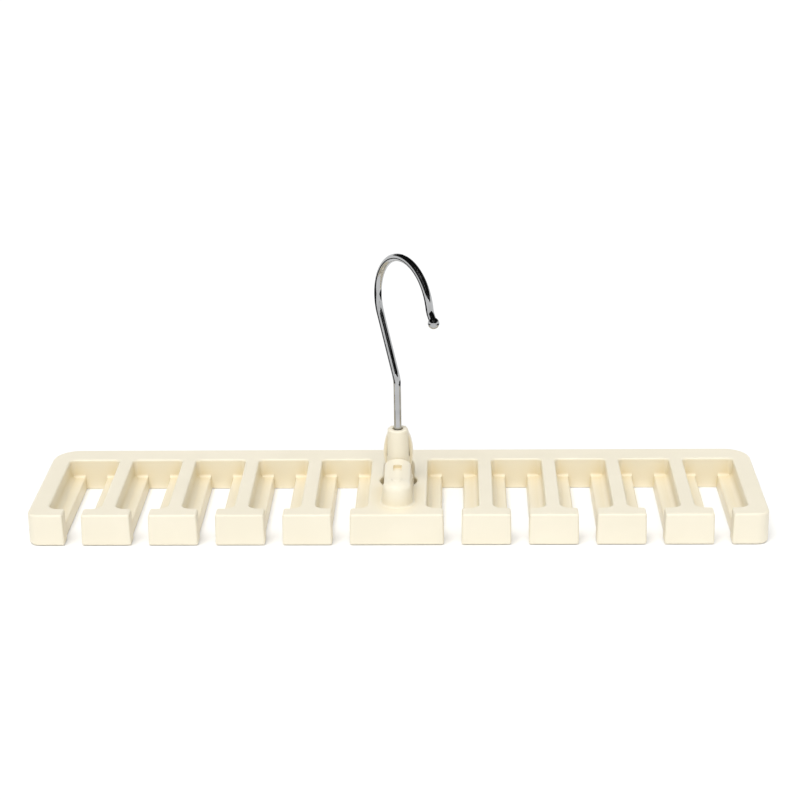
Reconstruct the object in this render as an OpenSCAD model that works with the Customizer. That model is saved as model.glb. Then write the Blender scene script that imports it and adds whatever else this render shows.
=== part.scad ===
// Scarf hanger: a flat comb rack with open slots, a fold-down stem and a swivelling wire hook.
// Units are millimetres. +Z is up, the tooth heads face -Y, the spine runs along X at +Y.
// The origin is the centre of the flat underside.

/* [Rack] */
// Overall length of the rack, end arm to end arm
rack_len = 368; // [300:1:440]
// Front to back depth of the rack
rack_depth = 88; // [80:1:110]
// Thickness of the rack
rack_h = 16.5; // [14:0.5:22]
// Front to back depth of the spine bar
spine_depth = 14; // [10:0.5:20]
// Plan radius of the two back corners
back_corner_r = 13; // [4:0.5:20]
// Plan radius of the two front corners
front_corner_r = 6; // [2:0.5:8]

/* [Comb] */
// Least width of the two end arms; the slots fill the length between them
end_arm_w = 7; // [5:0.5:12]
// Distance from slot to slot
pitch = 33.4; // [31:0.1:36]
// Distance from the middle of the rack to the first slot
first_slot_x = 27.75; // [26:0.25:32]
// Width of the narrow top rib of a tooth
rib_w = 7.2; // [5:0.2:10]
// Width of a slot mouth at the top of the heads
mouth_top_w = 9.3; // [8:0.1:12]
// Width of a slot mouth at the underside of the heads
mouth_bottom_w = 8.7; // [6:0.1:10]
// Front to back depth of a tooth head
head_depth = 9; // [6:0.5:14]
// Height of the ledge each side of a rib
ledge_h = 6.5; // [4:0.5:9]
// Gap between two facing ledges, at ledge height
ledge_gap_top = 11.6; // [10:0.1:16]
// Gap between two facing ledges, at the underside
ledge_gap_bottom = 11; // [9:0.1:16]
// Radius of the hollow corner between ledge and rib
ledge_fillet_r = 3; // [1:0.25:5]
// Plan radius where a rib flares into its head
head_flare_r = 5; // [2:0.5:7]
// Plan radius of the rear corners of a pocket
pocket_rear_r = 2.5; // [1:0.5:5]
// Radius of the ramp at the rear end of a ledge
ramp_r = 2; // [1:0.25:4]

/* [Stop boss] */
// Width of the boss nose at its foot
boss_w = 15.8; // [12:0.2:20]
// Width of the boss nose at its shoulders
boss_shoulder_w = 14.4; // [11:0.1:18]
// Step in from the nose to the back of the boss
boss_waist = 0.45; // [0.2:0.05:1.5]
// Distance from the front of the rack to the boss nose
boss_front = 7.8; // [5:0.1:12]
// Length of the boss, nose to stem
boss_len = 29.4; // [20:0.1:36]
// Height of the crown above the rack at the nose
boss_nose_h = 12.6; // [11:0.2:16]
// Height of the crown above the rack beside the stem
boss_rear_h = 15.2; // [11:0.2:20]
// Radius of the crowned top
boss_crown_r = 11; // [9:0.1:20]
// Radius of the shoulders, between the crown and the walls
boss_shoulder_r = 4.4; // [2:0.1:6]
// Height above the rack at which the shoulders begin
boss_shoulder_z = 7.8; // [5:0.1:9]
// Depth of the boss foot in the rack
boss_foot = 1; // [0.5:0.1:3]
// Width of the recess in the crown
recess_w = 4.2; // [3:0.1:6]
// Length of the recess in the crown
recess_len = 5.5; // [3:0.1:8]
// Depth of the recess below the crown
recess_depth = 2; // [0.5:0.1:3]

/* [Hinge] */
// Distance from the front of the rack to the hinge axis
hinge_from_front = 45.4; // [44:0.1:52]
// Height of the hinge axis above the underside
hinge_z = 12; // [9:0.1:13]
// Diameter of the round opening around the hinge
hinge_hole_d = 18.9; // [17:0.1:22]
// Diameter of the hinge pin
pin_d = 3; // [2:0.1:4]
// Length of the hinge pin
pin_len = 26; // [22:0.1:26]

/* [Stem] */
// Distance of the wire axis in front of the hinge axis
wire_offset = 2; // [1.5:0.1:3]
// Height of the top of the stem above the underside
stem_top_z = 45.6; // [40:0.1:50]
// Diameter of the stem tube at the top
tube_top_d = 10.5; // [9:0.1:12]
// Diameter of the stem tube at the root
tube_root_d = 11.8; // [10:0.1:13]
// Radius of the rim at the top of the tube
tube_rim_r = 0.9; // [0.2:0.1:1.5]
// Width of the leaf behind the tube
leaf_w = 15; // [13:0.1:15.2]
// Thickness of the leaf behind the tube
leaf_t = 4.6; // [3:0.1:5]
// Height of the widest place of the leaf above the underside
leaf_mid_z = 31.7; // [28:0.1:36]
// Radius of the two curved sides of the leaf
leaf_side_r = 25; // [20:0.5:40]
// Radius of the hinge knuckle
knuckle_r = 6.8; // [5:0.1:7]
// Width of the hinge knuckle
knuckle_w = 14.4; // [12:0.1:15.2]
// Diameter of the counterbore at the mouth of the tube
mouth_d = 5.4; // [4.6:0.1:7]
// Depth of the counterbore at the mouth of the tube
mouth_depth = 1.2; // [0.5:0.1:3]

/* [Hook] */
// Diameter of the hook wire
wire_d = 4; // [3:0.1:5]
// Radius of the hook bow, to the wire centre
bow_r = 23.8; // [18:0.1:30]
// Sideways distance of the bow centre from the stem axis
bow_x = 6.9; // [0:0.1:12]
// Height of the bow centre above the underside
bow_z = 113; // [100:0.5:125]
// Slope of the neck that leads into the bow, degrees from upright
neck_slope = 25; // [10:1:40]
// Radius of the bend between shank and neck
shank_bend_r = 14; // [6:0.5:20]
// Angle at which the bow ends, degrees above level
bow_end_angle = 10; // [0:1:60]
// Outward turn of the short end of the wire, degrees
tip_turn = 24; // [0:1:50]
// Radius of the outward turn at the end of the wire
tip_bend_r = 8; // [3:0.5:14]
// Straight length of wire between the outward turn and the ball
tip_len = 2.6; // [1:0.1:8]
// Diameter of the ball on the end of the wire
ball_d = 5.8; // [5:0.1:10]
// Turn of the hook about the stem as drawn, degrees
hook_turn = -56; // [-180:1:180]
// Outer diameter of the retaining ring on the wire
ring_d = 7.6; // [6:0.1:9]
// Height of the retaining ring
ring_h = 2.6; // [2:0.1:4]
// Height of the underside of the retaining ring above the underside of the rack
ring_z = 21.2; // [20:0.1:28]

/* [Hidden] */
$fn = 48;
// Each length of wire runs a little way into the next, which is this much thicker
lap = 0.3;
thin = 0.02;
// Gap between parts that pass each other
clear = 0.3;
// Running clearance on the radius of a bearing
run_clear = 0.05;
front_y = -rack_depth / 2;
back_y = rack_depth / 2;
pocket_w = pitch - rib_w;
pocket_front_y = front_y + head_depth;
pocket_rear_y = back_y - spine_depth;
slot_room = rack_len / 2 - end_arm_w - first_slot_x - pocket_w / 2;
slots_per_side = floor(slot_room / pitch) + 1;
hinge_y = front_y + hinge_from_front;
wire_y = hinge_y - wire_offset;
boss_rear_y = front_y + boss_front + boss_len;
nose_y = front_y + boss_front + boss_w / 2;
boss_tilt = atan((boss_rear_h - boss_nose_h + boss_waist) / (boss_len - boss_w / 2));
shoulder_x = boss_shoulder_w / 2 - boss_shoulder_r;
wall_run = (boss_w - boss_shoulder_w) / 2 / boss_shoulder_z;
// Reach of the stem past the hinge when it lies folded in the rack
stem_reach = stem_top_z - hinge_z;
leaf_reach = leaf_mid_z - hinge_z;
stem_slot_w = leaf_w + 2 * clear;
tube_slot_w = tube_top_d + 2.4 * clear;
tube_slot_end_y = hinge_y + stem_reach + 2 * clear;
tube_slot_corner_r = tube_rim_r + 2 * clear;
folded_wire_z = hinge_z + wire_offset;
slot_front_y = boss_rear_y - 0.4;
leaf_front_y = wire_y + 1.8;
leaf_rear_y = leaf_front_y + leaf_t;
wire_r = wire_d / 2;
bore_d = wire_d + 3 * run_clear;
pin_bore_d = pin_d + 2 * run_clear;
pin_left_x = -(first_slot_x - pocket_w / 2) + clear;
// Height at which the neck line meets the shank line
neck_start = bow_x - bow_r * cos(neck_slope);
neck_z = bow_z - bow_r * sin(neck_slope);
knee_z = neck_z + neck_start / tan(neck_slope);
knee_back = shank_bend_r * tan(neck_slope / 2);

module rack_plan() {
    straight = rack_len / 2;
    difference() {
        translate([-straight, front_y]) square([rack_len, rack_depth]);
        for (s = [-1, 1]) {
            translate([s * straight, back_y]) corner_waste(back_corner_r, s, 1);
            translate([s * straight, front_y]) corner_waste(front_corner_r, s, -1);
        }
    }
}

module corner_waste(r, sx, sy) {
    difference() {
        translate([sx > 0 ? -r : -1, sy > 0 ? -r : -1]) square([r + 1, r + 1]);
        translate([-sx * r, -sy * r]) circle(r);
    }
}

// Plan outline of one pocket, open towards the head by the flare
module pocket_plan() {
    w = pocket_w / 2;
    y0 = pocket_front_y;
    y1 = pocket_rear_y;
    translate([-w, y0 + head_flare_r]) square([2 * w, y1 - y0 - head_flare_r - pocket_rear_r]);
    translate([-w + head_flare_r, y0]) square([2 * w - 2 * head_flare_r, 20]);
    translate([-w + pocket_rear_r, y1 - 20]) square([2 * w - 2 * pocket_rear_r, 20]);
    for (s = [-1, 1]) {
        translate([s * (w - head_flare_r), y0 + head_flare_r]) circle(head_flare_r);
        translate([s * (w - pocket_rear_r), y1 - pocket_rear_r]) circle(pocket_rear_r, $fn = 32);
    }
}

// Section of a pocket across the slot, hollow-cornered above the ledges
module pocket_section() {
    w = pocket_w / 2;
    r = ledge_fillet_r;
    top = rack_h + 1;
    translate([-w, ledge_h + r]) square([2 * w, top - ledge_h - r]);
    translate([-w + r, ledge_h]) square([2 * w - 2 * r, top - ledge_h]);
    for (s = [-1, 1]) {
        translate([s * (w - r), ledge_h + r]) circle(r, $fn = 32);
    }
}

// Lengthways section of a pocket, with a ramp where a ledge meets the spine
module pocket_long_section() {
    y0 = pocket_front_y - 1;
    y1 = pocket_rear_y;
    r = ramp_r;
    top = rack_h + 1;
    translate([y0, ledge_h + r]) square([y1 - y0, top - ledge_h - r]);
    translate([y0, ledge_h]) square([y1 - y0 - r, top - ledge_h]);
    translate([y1 - r, ledge_h + r]) circle(r, $fn = 32);
}

// Trapezoid, wide at the top, extruded along Y and carried on above and below
module tapered_channel(top_w, bottom_w, height, above, y0, y1) {
    slope = (top_w - bottom_w) / 2 / height;
    translate([0, y1, 0]) rotate([90, 0, 0]) linear_extrude(y1 - y0)
        polygon([
            [-bottom_w / 2 + slope, -1],
            [bottom_w / 2 - slope, -1],
            [top_w / 2 + slope * above, height + above],
            [-top_w / 2 - slope * above, height + above]
        ]);
}

module comb_slot() {
    intersection() {
        translate([0, 0, ledge_h]) linear_extrude(rack_h - ledge_h + 1) pocket_plan();
        translate([0, pocket_rear_y + 1, 0]) rotate([90, 0, 0])
            linear_extrude(pocket_rear_y - pocket_front_y + 2) pocket_section();
        translate([-pocket_w / 2 - 1, 0, 0]) rotate([90, 0, 90])
            linear_extrude(pocket_w + 2) pocket_long_section();
    }
    tapered_channel(mouth_top_w, mouth_bottom_w, rack_h, 1, front_y - 1, pocket_front_y + 1);
    tapered_channel(ledge_gap_top, ledge_gap_bottom, ledge_h, ramp_r + 1, pocket_front_y, pocket_rear_y);
}

// Half section of the boss: wall, shoulder arc and crown arc, all set in by the same amount
module boss_profile(inset) {
    low = -5;
    crown_z = boss_nose_h - boss_crown_r;
    intersection() {
        union() {
            polygon([
                [0, low],
                [boss_w / 2 - low * wall_run - inset, low],
                [boss_shoulder_w / 2 - inset, boss_shoulder_z],
                [0, boss_shoulder_z]
            ]);
            translate([shoulder_x, boss_shoulder_z]) circle(boss_shoulder_r - inset, $fn = 48);
            translate([0, boss_shoulder_z - 1]) square([shoulder_x, boss_nose_h]);
        }
        union() {
            translate([0, crown_z]) circle(boss_crown_r - inset, $fn = 96);
            translate([0, low]) square([boss_w, crown_z - low]);
        }
        translate([0, low]) square([boss_w, boss_nose_h - low]);
    }
}

module boss_nose() {
    translate([0, nose_y, rack_h]) rotate_extrude($fn = 72) boss_profile(0);
}

// The boss behind the nose, rising to the stem
module boss_back() {
    translate([0, nose_y, rack_h + boss_nose_h]) rotate([boss_tilt, 0, 0])
        translate([0, 40, -boss_nose_h]) rotate([90, 0, 0]) linear_extrude(42) {
            boss_profile(boss_waist);
            mirror([1, 0]) boss_profile(boss_waist);
        }
}

module boss() {
    intersection() {
        union() {
            boss_nose();
            boss_back();
        }
        translate([-20, front_y, rack_h - boss_foot]) cube([40, boss_rear_y - front_y, 40]);
    }
}

module boss_recess() {
    y = boss_rear_y - 6.6;
    z = rack_h + boss_rear_h - recess_depth - 0.6;
    translate([-recess_w / 2, y - recess_len, z]) cube([recess_w, recess_len, 6]);
}

// Plan of the leaf, widest at y = 0
module leaf_plan(half_w, side_r, y0, y1) {
    intersection() {
        translate([half_w - side_r, 0]) circle(side_r, $fn = 120);
        translate([side_r - half_w, 0]) circle(side_r, $fn = 120);
        translate([-half_w - 1, y0]) square([2 * half_w + 2, y1 - y0]);
    }
}

module stem_slot_plan() {
    half = stem_slot_w / 2;
    wide_y = hinge_y + leaf_reach;
    translate([-half, slot_front_y]) square([stem_slot_w, wide_y - slot_front_y]);
    r = tube_slot_corner_r;
    translate([0, wide_y]) leaf_plan(half, leaf_side_r + clear, 0, tube_slot_end_y - wide_y);
    translate([-tube_slot_w / 2, wide_y]) square([tube_slot_w, tube_slot_end_y - wide_y - r]);
    translate([r - tube_slot_w / 2, wide_y]) square([tube_slot_w - 2 * r, tube_slot_end_y - wide_y]);
    for (s = [-1, 1]) {
        translate([s * (tube_slot_w / 2 - r), tube_slot_end_y - r]) circle(r, $fn = 32);
    }
}

// The comb plate with the openings for the folding stem
module plate() {
    difference() {
        linear_extrude(rack_h) rack_plan();
        for (s = [-1, 1]) {
            for (k = [0 : slots_per_side - 1]) {
                translate([s * (first_slot_x + k * pitch), 0, 0]) comb_slot();
            }
        }
        translate([0, 0, -1]) linear_extrude(rack_h + 2) stem_slot_plan();
        translate([0, hinge_y, -1]) cylinder(h = rack_h + 2, d = hinge_hole_d, $fn = 72);
        // Groove in the spine for the folded wire
        translate([-wire_r - 0.4, tube_slot_end_y - 3, folded_wire_z - wire_r - 0.4])
            cube([wire_d + 0.8, 30, 20]);
        translate([pin_left_x - 2, hinge_y, hinge_z]) rotate([0, 90, 0])
            cylinder(h = pin_len + 2, d = pin_d, $fn = 32);
    }
}

module rack() {
    color("ivory") union() {
        plate();
        difference() {
            boss();
            boss_recess();
        }
    }
}

module hinge_pin() {
    color("silver") translate([pin_left_x, hinge_y, hinge_z]) rotate([0, 90, 0])
        cylinder(h = pin_len, d = pin_d, $fn = 32);
}

module leaf() {
    low = hinge_z - leaf_mid_z;
    translate([0, leaf_rear_y, leaf_mid_z]) rotate([90, 0, 0])
        linear_extrude(leaf_t)
            leaf_plan(leaf_w / 2, leaf_side_r, low, stem_top_z - leaf_mid_z - tube_rim_r);
}

// Tapered tube with a rounded rim
module tube(low) {
    h = stem_top_z - low;
    r = tube_rim_r;
    translate([0, wire_y, low]) rotate_extrude($fn = 64) {
        polygon([[0, 0], [tube_root_d / 2, 0], [tube_top_d / 2, h - r], [0, h - r]]);
        translate([0, h - r]) square([tube_top_d / 2 - r, r]);
        intersection() {
            translate([tube_top_d / 2 - r, h - r]) circle(r, $fn = 32);
            square([tube_top_d, h]);
        }
    }
}

module stem() {
    color("ivory") difference() {
        union() {
            tube(hinge_z + 3);
            leaf();
            translate([-knuckle_w / 2, hinge_y, hinge_z]) rotate([0, 90, 0])
                cylinder(h = knuckle_w, r = knuckle_r, $fn = 64);
            translate([-tube_root_d / 2, wire_y, hinge_z])
                cube([tube_root_d, leaf_rear_y - wire_y, 18]);
        }
        translate([0, wire_y, ring_z - 1]) cylinder(h = stem_top_z, d = bore_d, $fn = 40);
        translate([0, wire_y, stem_top_z - mouth_depth]) cylinder(h = 5, d = mouth_d, $fn = 40);
        translate([-10, hinge_y, hinge_z]) rotate([0, 90, 0]) cylinder(h = 20, d = pin_bore_d, $fn = 40);
        // Window at the back through which the ring is put on the wire
        translate([0, wire_y, ring_z - clear])
            cylinder(h = ring_h + 2 * clear, d = ring_d + 2 * clear, $fn = 40);
        translate([-ring_d / 2 - clear, wire_y, ring_z - clear])
            cube([ring_d + 2 * clear, 12, ring_h + 2 * clear]);
    }
}

// Arc of wire in the XZ plane about (x, z), from angle a0 through sweep degrees
module wire_arc(x, z, r, a0, sweep, thickness) {
    translate([x, 0, z]) rotate([90, 0, 0]) rotate([0, 0, a0])
        rotate_extrude(angle = sweep, $fn = 96) translate([r, 0]) circle(thickness, $fn = 24);
}

// Straight wire in the XZ plane from a point, leaning by an angle from upright towards +X
module wire_rod(x, z, lean, length, thickness) {
    translate([x, 0, z]) rotate([0, lean, 0]) translate([0, 0, -lap])
        cylinder(h = length + lap, r = thickness, $fn = 24);
}

// Frame of the hook: the stem axis, turned as drawn
module hook_frame() {
    translate([0, wire_y, 0]) rotate([0, 0, hook_turn]) children();
}

module hook_wire() {
    a = bow_end_angle;
    end_x = bow_x + bow_r * cos(a);
    end_z = bow_z + bow_r * sin(a);
    turn_x = end_x + tip_bend_r * cos(a);
    turn_z = end_z + tip_bend_r * sin(a);
    out_x = turn_x - tip_bend_r * cos(a + tip_turn);
    out_z = turn_z - tip_bend_r * sin(a + tip_turn);
    low = ring_z - 0.4;
    knee_low = knee_z - knee_back;
    neck_len = -neck_start / sin(neck_slope) - knee_back;
    rod_r = wire_r - thin;
    tip_lap = lap / tip_bend_r * 180 / PI;
    color("gainsboro") hook_frame() {
        wire_rod(0, low, 0, knee_low - low + lap, rod_r);
        wire_arc(-shank_bend_r, knee_low, shank_bend_r, 0, neck_slope, wire_r);
        wire_rod(neck_start, neck_z, 180 - neck_slope, neck_len + lap, rod_r);
        wire_arc(bow_x, bow_z, bow_r, a, 180 + neck_slope - a, wire_r);
        wire_arc(turn_x, turn_z, tip_bend_r, 180 + a - tip_lap, tip_turn + tip_lap, rod_r);
        wire_rod(out_x, out_z, 180 - a - tip_turn, tip_len, rod_r - thin);
    }
}

// Centre of the ball, in the frame of the hook
module at_ball() {
    a = bow_end_angle;
    b = a + tip_turn;
    reach = tip_len + ball_d / 2 - 1.4;
    x = bow_x + (bow_r + tip_bend_r) * cos(a) - tip_bend_r * cos(b) + reach * sin(b);
    z = bow_z + (bow_r + tip_bend_r) * sin(a) - tip_bend_r * sin(b) - reach * cos(b);
    translate([x, 0, z]) children();
}

module hook_tip() {
    color("gainsboro") hook_frame() difference() {
        at_ball() sphere(d = ball_d, $fn = 40);
        at_ball() rotate([0, 180 - bow_end_angle - tip_turn, 0])
            translate([0, 0, -ball_d]) cylinder(h = ball_d / 2 + 1.4, r = wire_r - 2 * thin, $fn = 24);
    }
}

module retaining_ring() {
    color("silver") translate([0, wire_y, ring_z]) difference() {
        cylinder(h = ring_h, d = ring_d, $fn = 40);
        translate([0, 0, -1]) cylinder(h = ring_h + 2, r = wire_r - thin, $fn = 24);
    }
}

rack();
hinge_pin();
stem();
hook_wire();
retaining_ring();
hook_tip();
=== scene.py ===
import math
import bpy
from mathutils import Euler, Matrix

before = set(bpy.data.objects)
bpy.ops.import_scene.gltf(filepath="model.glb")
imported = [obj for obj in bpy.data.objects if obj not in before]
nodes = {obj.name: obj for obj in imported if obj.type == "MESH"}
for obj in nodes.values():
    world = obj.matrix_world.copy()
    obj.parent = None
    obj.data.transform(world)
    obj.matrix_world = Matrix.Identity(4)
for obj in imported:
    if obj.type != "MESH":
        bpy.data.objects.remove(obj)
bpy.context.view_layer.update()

# All lengths are in metres. A pair of colours holds the two ends of a faint mottle.
IVORY = ((0.900, 0.836, 0.672, 1), (0.926, 0.862, 0.700, 1))
# Darker, warmer ivory painted into hollows as shade, standing in for shade and light bounced between walls
PAINTED_HOLLOW_SHADE = (0.79, 0.672, 0.426, 1)
CHROME_GREY = ((0.43, 0.435, 0.44, 1), (0.50, 0.505, 0.51, 1))
STEEL_GREY = ((0.46, 0.46, 0.47, 1), (0.58, 0.58, 0.59, 1))
FLOOR_WHITE = (0.9, 0.9, 0.9, 1)
CARD_BLACK = (0.01, 0.01, 0.01, 1)
WORLD_WHITE = (1, 1, 1, 1)

# Noise values at which a mottle or a roughness reaches its first and its second end
MOTTLE_SPAN = (0.35, 0.65)
ROUGHNESS_SPAN = (0.3, 0.7)

# Painted shade of the plastic in hollows, a darker warm ivory that stands in for shade and light bounced
# between walls:
# how far off a wall still counts, and the openness at which the painted shade is full and at which it is
# gone
HOLLOW_SHADE_REACH = 0.02
HOLLOW_SHADE_SAMPLES = 12
HOLLOW_SHADE_SPAN = (0.2, 0.9)

# Rounded edges: radii, and what counts as one point or as one flat face before the rounding
RACK_ROUNDING = 0.0011
STEM_ROUNDING = 0.0005
STEEL_ROUNDING = 0.0003
SAME_POINT = 1e-6
SAME_FACE_RAD = 0.012
NORMAL_WEIGHT = 80

# Boxes on the rack in which no edge is rounded: centre, half size, and whether sharp edges stay crisp there
BOSS_CROWN = ((0, -0.0195, 0.0300), (0.0034, 0.0124, 0.0030), False)
BOSS_RECESS = ((0, -0.01615, 0.0302), (0.0024, 0.0030, 0.0026), True)
BOSS_REAR = ((0, -0.0070, 0.0190), (0.0110, 0.0024, 0.0068), True)
SLOT_REARS = ((0, 0.0302, 0.0046), (0.2, 0.0017, 0.0054), True)
HEAD_BACKS = ((0, -0.0330, 0.0037), (0.2, 0.0021, 0.00453), True)

# Stage: the floor lies just under the part; its lift and the world's levels are strengths where 1 is white
FLOOR_SIZE = (40, 40)
FLOOR_PLACE = (0, 0, -0.0003)
FLOOR_LIFT = 0.11
WORLD_LIGHT = 0.46
WORLD_SEEN = 1.0

# Dark cards of the studio: a ceiling, and a field on the floor at each end of the part
CEILING_SIZE = (12, 12)
CEILING_PLACE = (0, 0, 2.2)
FIELD_SIZE = (0.9, 0.5)
FIELD_X = 0.68
FIELD_Y = -0.02
FIELD_Z = 0.0005

# Camera: fitted to the rack's corners, the round opening and the mouth of the tube in the photograph
CAMERA_PLACE = (0.02967, -0.97136, 0.41749)
CAMERA_TURN_DEG = (69.833, 0.762, 1.393)
CAMERA_LENS_MM = 92.04
CAMERA_SENSOR_MM = 36
CAMERA_NEAR = 0.05
CAMERA_FAR = 50


def work_out(tree, kind, *values, vector=False):
    """Add a maths node. Each value is a number, a triple of numbers or another node's output."""
    node = tree.nodes.new("ShaderNodeVectorMath" if vector else "ShaderNodeMath")
    node.operation = kind
    for socket, value in zip(node.inputs, values):
        if isinstance(value, (int, float, tuple)):
            socket.default_value = value
        else:
            tree.links.new(value, socket)
    return node.outputs[0]


def map_range(tree, value, source=(0.0, 1.0), target=(0.0, 1.0)):
    """Add a node that maps the source span onto the target span."""
    node = tree.nodes.new("ShaderNodeMapRange")
    node.inputs["From Min"].default_value = source[0]
    node.inputs["From Max"].default_value = source[1]
    node.inputs["To Min"].default_value = target[0]
    node.inputs["To Max"].default_value = target[1]
    tree.links.new(value, node.inputs["Value"])
    return node.outputs["Result"]


def new_material(name):
    """A node material, with its tree and its Principled shader."""
    mat = bpy.data.materials.new(name)
    mat.use_nodes = True
    tree = mat.node_tree
    return mat, tree, tree.nodes["Principled BSDF"]


def noise(tree, scale, detail=3.0, stretch=None):
    """Noise in the object's own space, stretched where an axis has a factor under 1."""
    place = tree.nodes.new("ShaderNodeTexCoord").outputs["Object"]
    if stretch:
        mapping = tree.nodes.new("ShaderNodeMapping")
        mapping.inputs["Scale"].default_value = stretch
        tree.links.new(place, mapping.inputs["Vector"])
        place = mapping.outputs["Vector"]
    texture = tree.nodes.new("ShaderNodeTexNoise")
    texture.inputs["Scale"].default_value = scale
    texture.inputs["Detail"].default_value = detail
    tree.links.new(place, texture.inputs["Vector"])
    return texture.outputs["Fac"]


def mottle(tree, value, colours):
    """Colour that runs from the first to the second colour over the middle values of a noise."""
    node = tree.nodes.new("ShaderNodeValToRGB")
    for element, position, colour in zip(node.color_ramp.elements, MOTTLE_SPAN, colours):
        element.position = position
        element.color = colour
    tree.links.new(value, node.inputs["Fac"])
    return node.outputs["Color"]


def roughen(tree, value, shader, low, high):
    """Let a noise vary the shader's roughness between two values."""
    rough = map_range(tree, value, ROUGHNESS_SPAN, (low, high))
    tree.links.new(rough, shader.inputs["Roughness"])


def add_bump(tree, value, shader, strength, height):
    """Let a noise ripple the shader's surface."""
    node = tree.nodes.new("ShaderNodeBump")
    node.inputs["Strength"].default_value = strength
    node.inputs["Distance"].default_value = height
    tree.links.new(value, node.inputs["Height"])
    tree.links.new(node.outputs["Normal"], shader.inputs["Normal"])


def plastic_material():
    """Ivory injection-moulded plastic: faint mottle, soft sheen, fine skin, and painted shade in hollows."""
    mat, tree, shader = new_material("ivory_plastic")
    # Painted shade: where ambient occlusion finds walls close by, the colour turns to the darker warm ivory,
    # standing in for shade and bounced light
    corner = tree.nodes.new("ShaderNodeAmbientOcclusion")
    corner.only_local = True
    corner.samples = HOLLOW_SHADE_SAMPLES
    corner.inputs["Distance"].default_value = HOLLOW_SHADE_REACH
    mix = tree.nodes.new("ShaderNodeMix")
    mix.data_type = "RGBA"
    tree.links.new(map_range(tree, corner.outputs["AO"], HOLLOW_SHADE_SPAN), mix.inputs["Factor"])
    # A mix node has its sockets once for each kind of value, so the ones for colours are picked by type
    painted_shade_socket, in_the_open = [socket for socket in mix.inputs if socket.type == "RGBA"]
    painted_shade_socket.default_value = PAINTED_HOLLOW_SHADE
    tree.links.new(mottle(tree, noise(tree, scale=38.0, detail=4.0), IVORY), in_the_open)
    mixed = next(socket for socket in mix.outputs if socket.type == "RGBA")
    tree.links.new(mixed, shader.inputs["Base Color"])
    flow = noise(tree, scale=60.0, stretch=(0.25, 1.0, 1.0))
    roughen(tree, flow, shader, low=0.30, high=0.40)
    skin = noise(tree, scale=900.0, detail=2.0)
    add_bump(tree, skin, shader, strength=0.06, height=0.0001)
    shader.inputs["IOR"].default_value = 1.5
    return mat


def metal_material(name, colours, cloud_scale):
    """Metal whose colour varies faintly, still without its drawing marks."""
    mat, tree, shader = new_material(name)
    shader.inputs["Metallic"].default_value = 1.0
    tree.links.new(mottle(tree, noise(tree, cloud_scale), colours), shader.inputs["Base Color"])
    return mat, tree, shader


def chrome_material():
    """Bright plated wire with faint drawing marks along it."""
    mat, tree, shader = metal_material("chrome_wire", CHROME_GREY, cloud_scale=120.0)
    marks = noise(tree, scale=700.0, stretch=(1.0, 1.0, 0.12))
    roughen(tree, marks, shader, low=0.05, high=0.11)
    add_bump(tree, marks, shader, strength=0.04, height=0.00005)
    return mat


def steel_material():
    """Plain drawn steel of the pin and the ring."""
    mat, tree, shader = metal_material("pin_steel", STEEL_GREY, cloud_scale=300.0)
    marks = noise(tree, scale=1500.0, detail=2.0, stretch=(0.1, 1.0, 1.0))
    roughen(tree, marks, shader, low=0.24, high=0.38)
    add_bump(tree, marks, shader, strength=0.10, height=0.00005)
    return mat


def inside_box(tree, place, centre, half_size):
    """1 where the place lies inside a box, else 0."""
    away = work_out(tree, "SUBTRACT", place, centre, vector=True)
    away = work_out(tree, "ABSOLUTE", away, vector=True)
    room = tree.nodes.new("ShaderNodeSeparateXYZ")
    tree.links.new(work_out(tree, "SUBTRACT", half_size, away, vector=True), room.inputs[0])
    least = work_out(tree, "MINIMUM", room.outputs[0], room.outputs[1])
    least = work_out(tree, "MINIMUM", least, room.outputs[2])
    return work_out(tree, "GREATER_THAN", least, 0.0)


def edge_plan(name, angle, hollow_edges, plain_boxes):
    """Geometry nodes that choose the edges to round and those to keep crisp.

    An edge is rounded where its faces meet sharper than the angle, in degrees. Left out are the edges in a
    plain box and, where hollow_edges is off, the inner edges of hollows.
    """
    group = bpy.data.node_groups.new(name, "GeometryNodeTree")
    for way in ("INPUT", "OUTPUT"):
        group.interface.new_socket("Geometry", in_out=way, socket_type="NodeSocketGeometry")
    start = group.nodes.new("NodeGroupInput")
    end = group.nodes.new("NodeGroupOutput")

    bend = group.nodes.new("GeometryNodeInputMeshEdgeAngle")
    limit = math.radians(angle)
    sharp = work_out(group, "GREATER_THAN", bend.outputs["Unsigned Angle"], limit)
    rounded = sharp
    if not hollow_edges:
        rounded = work_out(group, "GREATER_THAN", bend.outputs["Signed Angle"], limit)
    crisp = work_out(group, "SUBTRACT", sharp, rounded)
    place = group.nodes.new("GeometryNodeInputPosition").outputs[0]
    for centre, half_size, shows_crisp in plain_boxes:
        inside = inside_box(group, place, centre, half_size)
        outside = work_out(group, "SUBTRACT", 1.0, inside)
        rounded = work_out(group, "MULTIPLY", rounded, outside)
        if shows_crisp:
            crisp = work_out(group, "MAXIMUM", crisp, work_out(group, "MULTIPLY", inside, sharp))
        else:
            crisp = work_out(group, "MULTIPLY", crisp, outside)

    store = group.nodes.new("GeometryNodeStoreNamedAttribute")
    store.data_type = "FLOAT"
    store.domain = "EDGE"
    store.inputs["Name"].default_value = "bevel_weight_edge"
    group.links.new(start.outputs[0], store.inputs["Geometry"])
    group.links.new(rounded, store.inputs["Value"])
    shade = group.nodes.new("GeometryNodeSetShadeSmooth")
    shade.domain = "EDGE"
    group.links.new(store.outputs[0], shade.inputs[0])
    group.links.new(crisp, shade.inputs["Selection"])
    shade.inputs["Shade Smooth"].default_value = False
    group.links.new(shade.outputs[0], end.inputs[0])
    return group


def dress(name, mat):
    """Give a CAD node its material and smooth shading."""
    mesh = nodes[name].data
    mesh.materials.clear()
    mesh.materials.append(mat)
    for polygon in mesh.polygons:
        polygon.use_smooth = True


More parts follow.
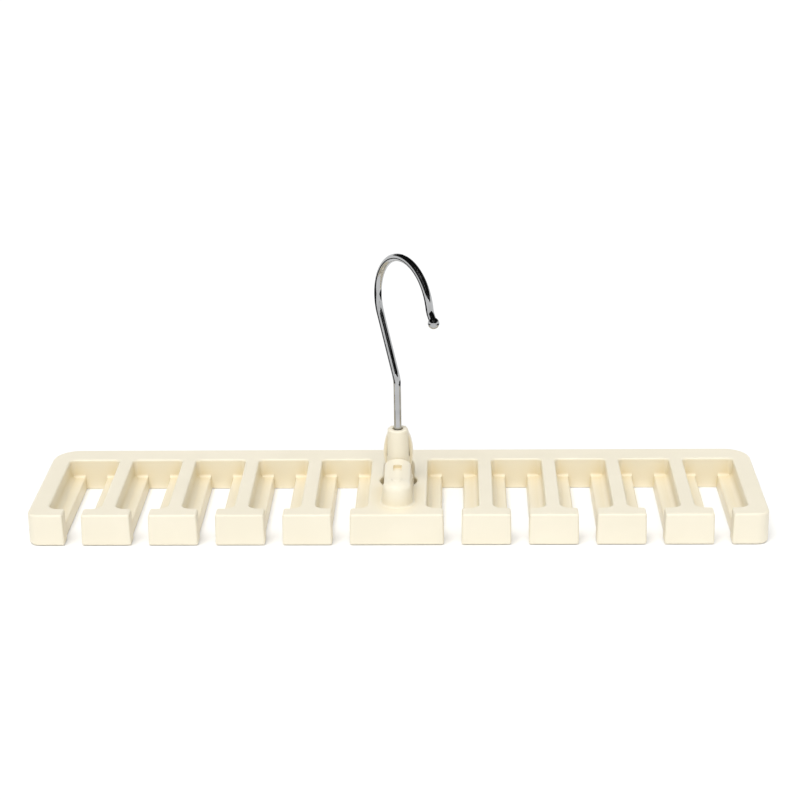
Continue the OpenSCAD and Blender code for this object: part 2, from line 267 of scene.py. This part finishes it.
def round_edges(name, radius, segments=3, angle=32, hollow_edges=True, plain_boxes=()):
    """Give a CAD node softly rounded edges, with shading that keeps its flat faces flat."""
    modifiers = nodes[name].modifiers
    weld = modifiers.new("weld", "WELD")
    weld.merge_threshold = SAME_POINT
    flat = modifiers.new("merge", "DECIMATE")
    flat.decimate_type = "DISSOLVE"
    flat.angle_limit = SAME_FACE_RAD
    plan = modifiers.new("plan", "NODES")
    plan.node_group = edge_plan(name + "_edges", angle, hollow_edges, plain_boxes)
    edge = modifiers.new("edge", "BEVEL")
    edge.width = radius
    edge.segments = segments
    edge.limit_method = "WEIGHT"
    edge.use_clamp_overlap = False
    normal = modifiers.new("normal", "WEIGHTED_NORMAL")
    normal.weight = NORMAL_WEIGHT
    normal.keep_sharp = True


PLASTIC = plastic_material()
CHROME = chrome_material()
STEEL = steel_material()

dress("rack", PLASTIC)
round_edges("rack", RACK_ROUNDING, plain_boxes=(BOSS_CROWN, BOSS_RECESS, SLOT_REARS, HEAD_BACKS, BOSS_REAR))
dress("stem", PLASTIC)
round_edges("stem", STEM_ROUNDING, angle=50, hollow_edges=False)
dress("hook_wire", CHROME)
dress("hook_tip", CHROME)
for steel_piece in ("retaining_ring", "hinge_pin"):
    dress(steel_piece, STEEL)
    round_edges(steel_piece, STEEL_ROUNDING, segments=2)


def seen_white(tree):
    """1 for what the camera sees directly, in a reflection or through glass, else 0."""
    path = tree.nodes.new("ShaderNodeLightPath")
    seen = work_out(tree, "MAXIMUM", path.outputs["Is Camera Ray"], path.outputs["Is Glossy Ray"])
    return work_out(tree, "MAXIMUM", seen, path.outputs["Is Transmission Ray"])


def floor_material():
    """Matt white that is lifted a little where it is seen, and keeps the part's shadow."""
    mat, tree, shader = new_material("stage_white")
    tree.nodes.remove(shader)
    diffuse = tree.nodes.new("ShaderNodeBsdfDiffuse")
    diffuse.inputs["Color"].default_value = FLOOR_WHITE
    glow = tree.nodes.new("ShaderNodeEmission")
    tree.links.new(work_out(tree, "MULTIPLY", seen_white(tree), FLOOR_LIFT), glow.inputs["Strength"])
    both = tree.nodes.new("ShaderNodeAddShader")
    tree.links.new(diffuse.outputs[0], both.inputs[0])
    tree.links.new(glow.outputs[0], both.inputs[1])
    tree.links.new(both.outputs[0], tree.nodes["Material Output"].inputs["Surface"])
    return mat


def white_world():
    """Even white surroundings: full white where they are seen, and dimmer as light on the part."""
    world = bpy.data.worlds.new("stage_world")
    bpy.context.scene.world = world
    world.use_nodes = True
    tree = world.node_tree
    back = tree.nodes["Background"]
    back.inputs["Color"].default_value = WORLD_WHITE
    strength = map_range(tree, seen_white(tree), target=(WORLD_LIGHT, WORLD_SEEN))
    tree.links.new(strength, back.inputs["Strength"])


def stage_plane(name, mat, size, place):
    """A flat rectangle of the stage, which isn't part of the object."""
    bpy.ops.mesh.primitive_plane_add(size=1, location=place)
    plane = bpy.context.object
    plane.name = name
    plane.scale = (size[0], size[1], 1)
    plane.data.materials.append(mat)
    return plane


def dark_card(name, size, place):
    """A dark panel of the studio that shows only in reflections."""
    mat, tree, shader = new_material(name)
    shader.inputs["Base Color"].default_value = CARD_BLACK
    shader.inputs["Roughness"].default_value = 1.0
    shader.inputs["Specular IOR Level"].default_value = 0.0
    card = stage_plane(name, mat, size, place)
    card.visible_camera = False
    card.visible_diffuse = False
    card.visible_shadow = False
    card.visible_transmission = False


def sun(name, azimuth, elevation, level, spread):
    """A soft distant lamp.

    Azimuth 0 is in front (-Y) and positive towards +X, in degrees. Level is what a white face shows.
    """
    data = bpy.data.lights.new(name, "SUN")
    data.energy = level * math.pi
    data.angle = math.radians(spread)
    lamp = bpy.data.objects.new(name, data)
    bpy.context.scene.collection.objects.link(lamp)
    lamp.rotation_euler = (math.radians(90 - elevation), 0, math.radians(azimuth))


def photo_camera():
    """The camera at which the part covers the same place in the picture as in the photograph."""
    data = bpy.data.cameras.new("camera")
    data.sensor_width = CAMERA_SENSOR_MM
    data.lens = CAMERA_LENS_MM
    data.clip_start = CAMERA_NEAR
    data.clip_end = CAMERA_FAR
    camera = bpy.data.objects.new("camera", data)
    bpy.context.scene.collection.objects.link(camera)
    turn = Euler([math.radians(angle) for angle in CAMERA_TURN_DEG])
    camera.matrix_world = Matrix.Translation(CAMERA_PLACE) @ turn.to_matrix().to_4x4()
    bpy.context.scene.camera = camera


stage_plane("stage_floor", floor_material(), FLOOR_SIZE, FLOOR_PLACE)
white_world()
dark_card("stage_ceiling", CEILING_SIZE, CEILING_PLACE)
dark_card("stage_left_field", FIELD_SIZE, (-FIELD_X, FIELD_Y, FIELD_Z))
dark_card("stage_right_field", FIELD_SIZE, (FIELD_X, FIELD_Y, FIELD_Z))
sun("key", azimuth=-20, elevation=65, level=0.60, spread=40)
sun("front", azimuth=8, elevation=32, level=0.115, spread=30)
photo_camera()
bpy.context.scene.view_settings.view_transform = "Standard"
